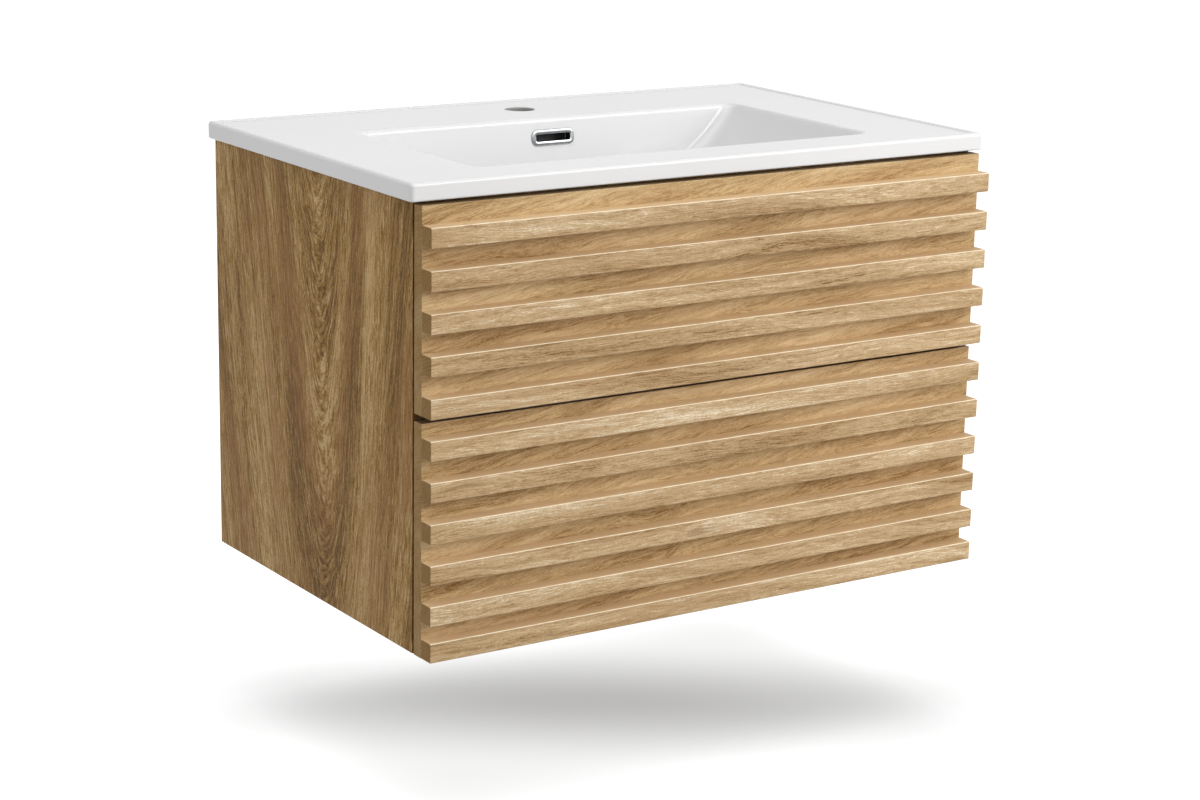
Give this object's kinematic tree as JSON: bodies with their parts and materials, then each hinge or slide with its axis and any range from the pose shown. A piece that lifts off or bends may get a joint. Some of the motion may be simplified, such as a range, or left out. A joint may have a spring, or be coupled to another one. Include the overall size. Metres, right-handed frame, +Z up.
{
  "type": "floating vanity",
  "caption": "Wall-hung vanity with an oak cabinet, slatted drawers on full-extension ball runners and a ceramic basin with an integral bowl.",
  "frame": {"origin": "middle of the four wall screws, on the wall plane", "axes": "+X to the right seen from the room, +Y into the wall, +Z up; the fronts face -Y"},
  "size_m": [0.77, 0.51, 0.515],
  "materials": {
    "oak_cabinet": "oak veneer, vertical grain, matt",
    "oak_front": "oak, horizontal grain, matt",
    "box_board": "light faced board, matt",
    "dowel_wood": "plain beech",
    "ceramic": "white glaze, glossy",
    "chrome": "polished",
    "zinc_steel": "zinc-plated sheet steel",
    "grey_plastic": "moulded, matt",
    "pad": "soft clear pad"
  },
  "bodies": {
    "cabinet": {"side_panel_left": "oak_cabinet", "side_panel_right": "oak_cabinet", "bottom_panel": "oak_cabinet", "front_rail": "oak_cabinet", "back_rail_top": "oak_cabinet", "back_rail_bottom": "oak_cabinet", "carcase_dowels": "dowel_wood", "front_pads": "pad", "basin": "ceramic", "overflow_ring": "chrome", "wall_plate_left": "zinc_steel", "wall_plate_right": "zinc_steel", "hanger_left": "grey_plastic", "hanger_right": "grey_plastic", "hanger_hooks": "zinc_steel", "hanger_screws": "zinc_steel", "upper_runner_fixed_left": "zinc_steel", "upper_runner_fixed_right": "zinc_steel", "lower_runner_fixed_left": "zinc_steel", "lower_runner_fixed_right": "zinc_steel", "runner_screws": "zinc_steel"},
    "upper_runner_middles": {"upper_runner_middle_left": "zinc_steel", "upper_runner_middle_right": "zinc_steel"},
    "upper_outer_cages": {"upper_outer_ball_cages": "zinc_steel"},
    "upper_inner_cages": {"upper_inner_ball_cages": "zinc_steel"},
    "lower_runner_middles": {"lower_runner_middle_left": "zinc_steel", "lower_runner_middle_right": "zinc_steel"},
    "lower_outer_cages": {"lower_outer_ball_cages": "zinc_steel"},
    "lower_inner_cages": {"lower_inner_ball_cages": "zinc_steel"},
    "upper_drawer": {"upper_front_panel": "oak_front", "upper_slat_1": "oak_front", "upper_slat_2": "oak_front", "upper_slat_3": "oak_front", "upper_slat_4": "oak_front", "upper_slat_5": "oak_front", "upper_drawer_side_left": "box_board", "upper_drawer_side_right": "box_board", "upper_drawer_bottom": "box_board", "upper_drawer_back_left": "box_board", "upper_drawer_back_right": "box_board", "upper_recess_liner": "grey_plastic", "upper_runner_slim_left": "zinc_steel", "upper_runner_slim_right": "zinc_steel", "upper_drawer_dowels": "dowel_wood", "upper_drawer_screws": "zinc_steel"},
    "lower_drawer": {"lower_front_panel": "oak_front", "lower_slat_1": "oak_front", "lower_slat_2": "oak_front", "lower_slat_3": "oak_front", "lower_slat_4": "oak_front", "lower_slat_5": "oak_front", "lower_slat_6": "oak_front", "lower_drawer_side_left": "box_board", "lower_drawer_side_right": "box_board", "lower_drawer_bottom": "box_board", "lower_drawer_back": "box_board", "lower_runner_slim_left": "zinc_steel", "lower_runner_slim_right": "zinc_steel", "lower_drawer_dowels": "dowel_wood", "lower_drawer_screws": "zinc_steel"}
  },
  "joints": [
    {"name": "upper_drawer_slide", "type": "slide", "parent": "cabinet", "child": "upper_drawer", "axis": [0, -1, 0], "range_m": [0, 0.4]},
    {"name": "upper_runner_middles_slide", "type": "slide", "parent": "cabinet", "child": "upper_runner_middles", "axis": [0, -1, 0], "range_m": [0, 0.2]},
    {"name": "upper_outer_cages_slide", "type": "slide", "parent": "cabinet", "child": "upper_outer_cages", "axis": [0, -1, 0], "range_m": [0, 0.1]},
    {"name": "upper_inner_cages_slide", "type": "slide", "parent": "cabinet", "child": "upper_inner_cages", "axis": [0, -1, 0], "range_m": [0, 0.3]},
    {"name": "lower_drawer_slide", "type": "slide", "parent": "cabinet", "child": "lower_drawer", "axis": [0, -1, 0], "range_m": [0, 0.4]},
    {"name": "lower_runner_middles_slide", "type": "slide", "parent": "cabinet", "child": "lower_runner_middles", "axis": [0, -1, 0], "range_m": [0, 0.2]},
    {"name": "lower_outer_cages_slide", "type": "slide", "parent": "cabinet", "child": "lower_outer_cages", "axis": [0, -1, 0], "range_m": [0, 0.1]},
    {"name": "lower_inner_cages_slide", "type": "slide", "parent": "cabinet", "child": "lower_inner_cages", "axis": [0, -1, 0], "range_m": [0, 0.3]}
  ],
  "couplings": [
    {"joint": "upper_runner_middles_slide", "follows": "upper_drawer_slide", "ratio": 0.5},
    {"joint": "upper_outer_cages_slide", "follows": "upper_drawer_slide", "ratio": 0.25},
    {"joint": "upper_inner_cages_slide", "follows": "upper_drawer_slide", "ratio": 0.75},
    {"joint": "lower_runner_middles_slide", "follows": "lower_drawer_slide", "ratio": 0.5},
    {"joint": "lower_outer_cages_slide", "follows": "lower_drawer_slide", "ratio": 0.25},
    {"joint": "lower_inner_cages_slide", "follows": "lower_drawer_slide", "ratio": 0.75}
  ]
}
